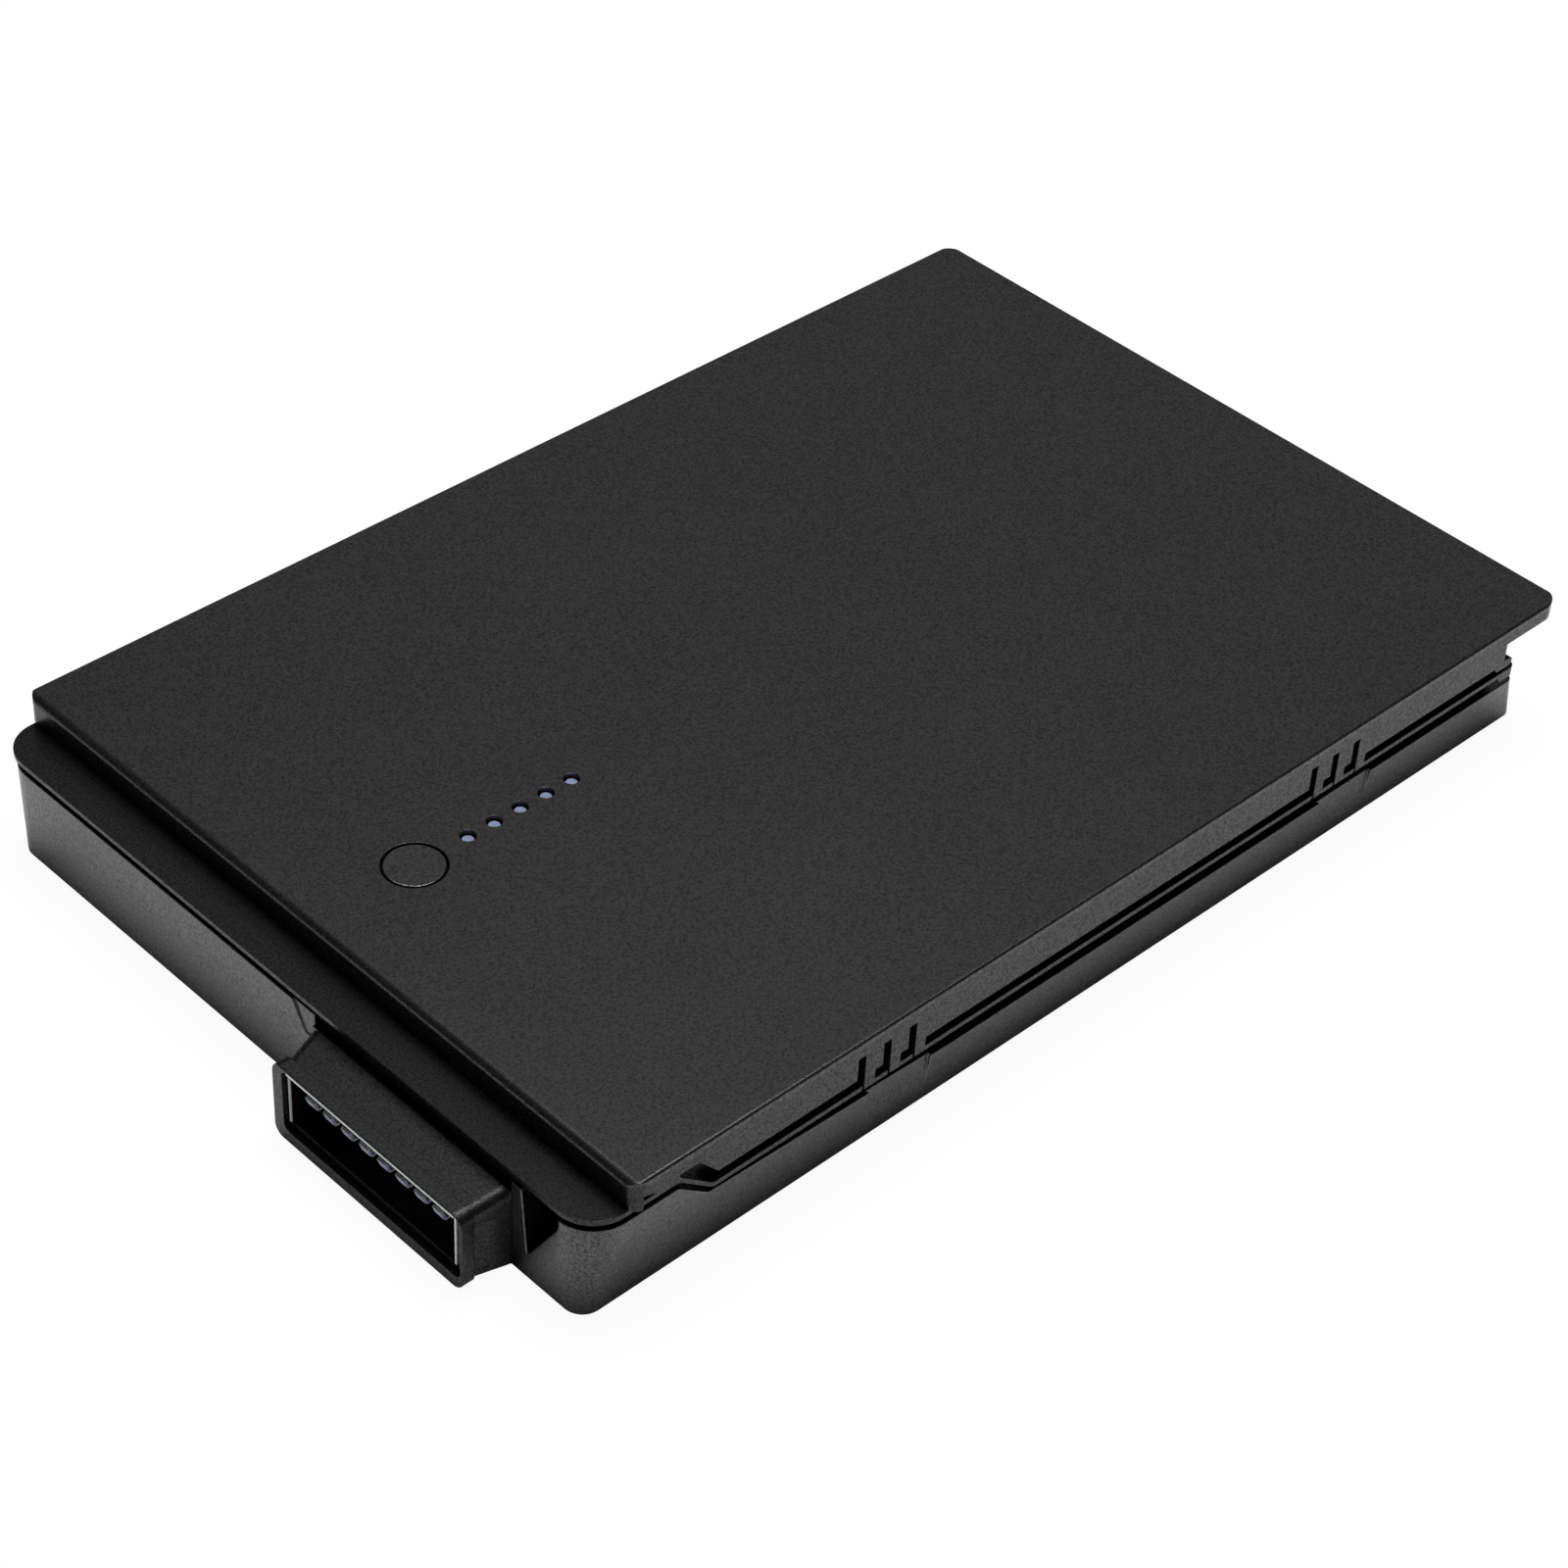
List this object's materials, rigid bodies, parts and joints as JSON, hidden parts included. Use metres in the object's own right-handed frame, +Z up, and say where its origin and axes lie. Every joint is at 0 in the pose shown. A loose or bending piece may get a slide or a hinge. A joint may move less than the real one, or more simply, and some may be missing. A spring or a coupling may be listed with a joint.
{
  "type": "laptop battery",
  "caption": "Flat black laptop battery pack with an overhanging cover plate, stepped side rails, a plug socket at one end and a push-button charge gauge with small lights.",
  "frame": {"origin": "middle of the pack's underside, at the centre of the bounding box", "axes": "+X along the pack, away from the connector end; +Y across it, away from the socket's side; +Z up through the cover plate"},
  "size_m": [0.1508, 0.097, 0.0174],
  "materials": {
    "case_plastic": "black moulded ABS and polycarbonate, fine spark texture",
    "socket_plastic": "black glass-filled nylon, fine texture",
    "button_plastic": "black moulded plastic, fine spark texture",
    "frame_plastic": "natural pale nylon",
    "contact_metal": "tin-plated spring bronze",
    "lens_plastic": "clear blue-grey acrylic lens",
    "cell_foil": "laminated aluminium pouch, satin",
    "tape": "white double-sided acrylic tape",
    "nickel": "nickel strip, satin",
    "insulating_paper": "grey-green insulating paper",
    "foam": "black closed-cell foam",
    "board_laminate": "green solder mask over glass laminate",
    "chip_plastic": "black moulding compound",
    "fuse_ceramic": "grey-brown ceramic with tinned ends",
    "sensor_epoxy": "black epoxy bead",
    "cable_film": "amber polyimide film",
    "lamp_resin": "pale clear resin",
    "switch_metal": "stamped steel shell",
    "plunger_plastic": "black nylon"
  },
  "bodies": {
    "pack": {"top_cover": "case_plastic", "bottom_case": "case_plastic", "connector_housing": "socket_plastic", "contact_carrier": "socket_plastic", "mouth_frame": "frame_plastic", "contact_1": "contact_metal", "contact_2": "contact_metal", "contact_3": "contact_metal", "contact_4": "contact_metal", "contact_5": "contact_metal", "contact_6": "contact_metal", "contact_7": "contact_metal", "contact_8": "contact_metal", "light_pipe_1": "lens_plastic", "light_pipe_2": "lens_plastic", "light_pipe_3": "lens_plastic", "light_pipe_4": "lens_plastic", "light_pipe_5": "lens_plastic", "cell_near": "cell_foil", "cell_middle": "cell_foil", "cell_far": "cell_foil", "adhesive_near": "tape", "adhesive_middle": "tape", "adhesive_far": "tape", "strip_plus": "nickel", "strip_link_a": "nickel", "strip_link_b": "nickel", "strip_minus": "nickel", "cell_sheet": "insulating_paper", "foam_near": "foam", "foam_far": "foam", "foam_rear": "foam", "main_board": "board_laminate", "gauge_board": "board_laminate", "gauge_chip": "chip_plastic", "protector_chip": "chip_plastic", "charge_switch": "chip_plastic", "discharge_switch": "chip_plastic", "safety_fuse": "fuse_ceramic", "sense_resistor": "fuse_ceramic", "thermistor": "sensor_epoxy", "board_link": "cable_film", "light_1": "lamp_resin", "light_2": "lamp_resin", "light_3": "lamp_resin", "light_4": "lamp_resin", "light_5": "lamp_resin", "switch_body": "switch_metal"},
    "button": {"charge_button": "button_plastic", "switch_plunger": "plunger_plastic"}
  },
  "joints": [
    {"name": "button_press", "type": "slide", "parent": "pack", "child": "button", "axis": [0, 0, -1], "range_m": [0, 0.0003], "stiffness_N_per_m": 300, "springref_m": -0.0012}
  ]
}
